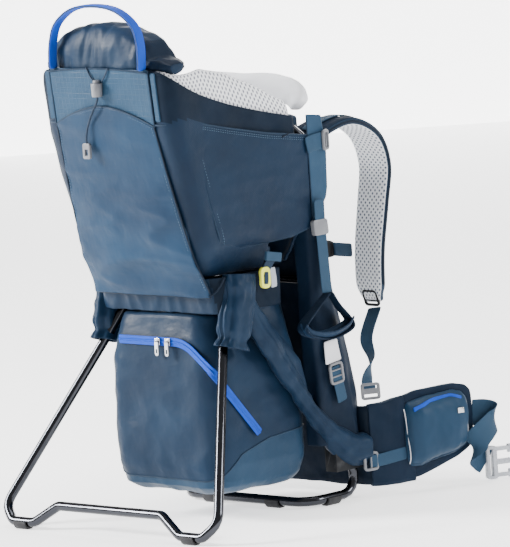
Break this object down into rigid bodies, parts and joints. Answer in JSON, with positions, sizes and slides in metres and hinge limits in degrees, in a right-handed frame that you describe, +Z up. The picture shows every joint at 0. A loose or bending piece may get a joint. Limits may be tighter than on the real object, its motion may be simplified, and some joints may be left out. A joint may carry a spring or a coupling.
{
  "type": "baby carrier backpack",
  "caption": "Framed backpack that carries a small child: tube frame, folding kickstand, padded cabin, storage compartment and hip belt.",
  "frame": {"origin": "on the floor plane under the middle of the bounding box, with the carrier standing on its kickstand and skid", "axes": "+X to the wearer's right, +Y towards the wearer, +Z up"},
  "size_m": [0.4439, 0.6147, 0.7439],
  "materials": {
    "anodised_tube": "satin",
    "black_rubber": "matte",
    "black_plastic": "matte",
    "grey_plastic": "satin",
    "yellow_plastic": "satin",
    "zip_metal": "polished",
    "navy_fabric": "woven",
    "blue_fabric": "woven ripstop",
    "blue_webbing": "woven webbing",
    "bright_blue_fabric": "woven",
    "grey_mesh": "open mesh"
  },
  "bodies": {
    "carrier": {"upright_tube": "anodised_tube", "skid_tube": "anodised_tube", "brace_tube": "anodised_tube", "frame_lug_right": "black_plastic", "frame_lug_left": "black_plastic", "seat_frame": "anodised_tube", "skid_foot_side_right": "black_rubber", "skid_foot_side_left": "black_rubber", "skid_foot_rear_right": "black_rubber", "skid_foot_rear_left": "black_rubber", "pivot_bracket_right": "black_plastic", "pivot_bracket_left": "black_plastic", "cabin_shell": "navy_fabric", "cabin_liner": "grey_mesh", "child_harness": "navy_fabric", "headrest_pouch": "blue_fabric", "rear_pocket": "blue_fabric", "waist_band": "navy_fabric", "cord_lock": "grey_plastic", "drawcord": "navy_fabric", "drawcord_tail": "navy_fabric", "pull_tab": "grey_plastic", "storage_bag": "blue_fabric", "storage_zip": "bright_blue_fabric", "back_panel": "navy_fabric", "lumbar_pad": "grey_mesh", "shoulder_strap_right": "navy_fabric", "shoulder_strap_left": "navy_fabric", "strap_webbing_right": "blue_webbing", "strap_webbing_left": "blue_webbing", "sternum_strap": "blue_webbing", "hip_belt": "navy_fabric", "belt_lock_right": "grey_plastic", "belt_lock_left": "grey_plastic", "stirrup_lock_right": "grey_plastic", "stirrup_lock_left": "grey_plastic", "side_hook": "yellow_plastic"},
    "kickstand": {"kickstand_tube": "anodised_tube", "kickstand_foot_right": "black_rubber", "kickstand_foot_left": "black_rubber"},
    "handle": {"carry_handle": "bright_blue_fabric"},
    "seat": {"child_seat": "navy_fabric"},
    "chin_rest": {"chin_pad": "grey_mesh"},
    "lock_button": {"cord_lock_button": "grey_plastic"},
    "zip_slider_right": {"zip_slider_right": "zip_metal"},
    "zip_pull_right": {"zip_pull_right": "zip_metal"},
    "zip_slider_left": {"zip_slider_left": "zip_metal"},
    "zip_pull_left": {"zip_pull_left": "zip_metal"},
    "wing_right": {"hip_wing_right": "navy_fabric", "hip_pocket_right": "blue_fabric", "belt_webbing_right": "blue_webbing", "buckle_prongs": "grey_plastic"},
    "wing_left": {"hip_wing_left": "navy_fabric", "hip_pocket_left": "blue_fabric", "belt_webbing_left": "blue_webbing", "buckle_socket": "grey_plastic"},
    "pocket_slider_right": {"pocket_slider_right": "zip_metal"},
    "pocket_slider_left": {"pocket_slider_left": "zip_metal"},
    "stirrup_right": {"stirrup_right": "blue_webbing"},
    "stirrup_left": {"stirrup_left": "blue_webbing"}
  },
  "joints": [
    {"name": "kickstand_fold", "type": "hinge", "parent": "carrier", "child": "kickstand", "pos_m": [0, -0.113, 0.33], "axis": [1, 0, 0], "range_deg": [0, 35]},
    {"name": "handle_swing", "type": "hinge", "parent": "carrier", "child": "handle", "pos_m": [0, -0.247, 0.634], "axis": [1, 0, 0], "range_deg": [0, 120]},
    {"name": "seat_height", "type": "slide", "parent": "carrier", "child": "seat", "axis": [0, 0, 1], "range_m": [0, 0.05]},
    {"name": "chin_pad_lift", "type": "slide", "parent": "carrier", "child": "chin_rest", "axis": [0, 0, 1], "range_m": [0, 0.04]},
    {"name": "cord_lock_press", "type": "slide", "parent": "carrier", "child": "lock_button", "axis": [0, 0, -1], "range_m": [0, 0.003], "stiffness_N_per_m": 900, "springref_m": -0.0005},
    {"name": "zip_right_travel", "type": "slide", "parent": "carrier", "child": "zip_slider_right", "axis": [1, 0, 0], "range_m": [0, 0.018]},
    {"name": "zip_left_travel", "type": "slide", "parent": "carrier", "child": "zip_slider_left", "axis": [1, 0, 0], "range_m": [-0.07, 0]},
    {"name": "zip_pull_right_flip", "type": "hinge", "parent": "zip_slider_right", "child": "zip_pull_right", "pos_m": [0.028, -0.1774, 0.261], "axis": [1, 0, 0], "range_deg": [-90, 0]},
    {"name": "zip_pull_left_flip", "type": "hinge", "parent": "zip_slider_left", "child": "zip_pull_left", "pos_m": [0.008, -0.1774, 0.261], "axis": [1, 0, 0], "range_deg": [-90, 0]},
    {"name": "hip_wing_right_flex", "type": "hinge", "parent": "carrier", "child": "wing_right", "pos_m": [0.14574, 0.13062, 0.075], "axis": [0, 0, 1], "range_deg": [-5, 30]},
    {"name": "pocket_zip_right_travel", "type": "slide", "parent": "wing_right", "child": "pocket_slider_right", "axis": [0.2946, 0.9556, 0], "range_m": [-0.07, 0]},
    {"name": "stirrup_right_height", "type": "slide", "parent": "carrier", "child": "stirrup_right", "axis": [0.0857, -0.0214, -0.9961], "range_m": [-0.03, 0.03]},
    {"name": "hip_wing_left_flex", "type": "hinge", "parent": "carrier", "child": "wing_left", "pos_m": [-0.14574, 0.13062, 0.075], "axis": [0, 0, 1], "range_deg": [-30, 5]},
    {"name": "pocket_zip_left_travel", "type": "slide", "parent": "wing_left", "child": "pocket_slider_left", "axis": [-0.2946, 0.9556, 0], "range_m": [-0.07, 0]},
    {"name": "stirrup_left_height", "type": "slide", "parent": "carrier", "child": "stirrup_left", "axis": [-0.0857, -0.0214, -0.9961], "range_m": [-0.03, 0.03]}
  ]
}
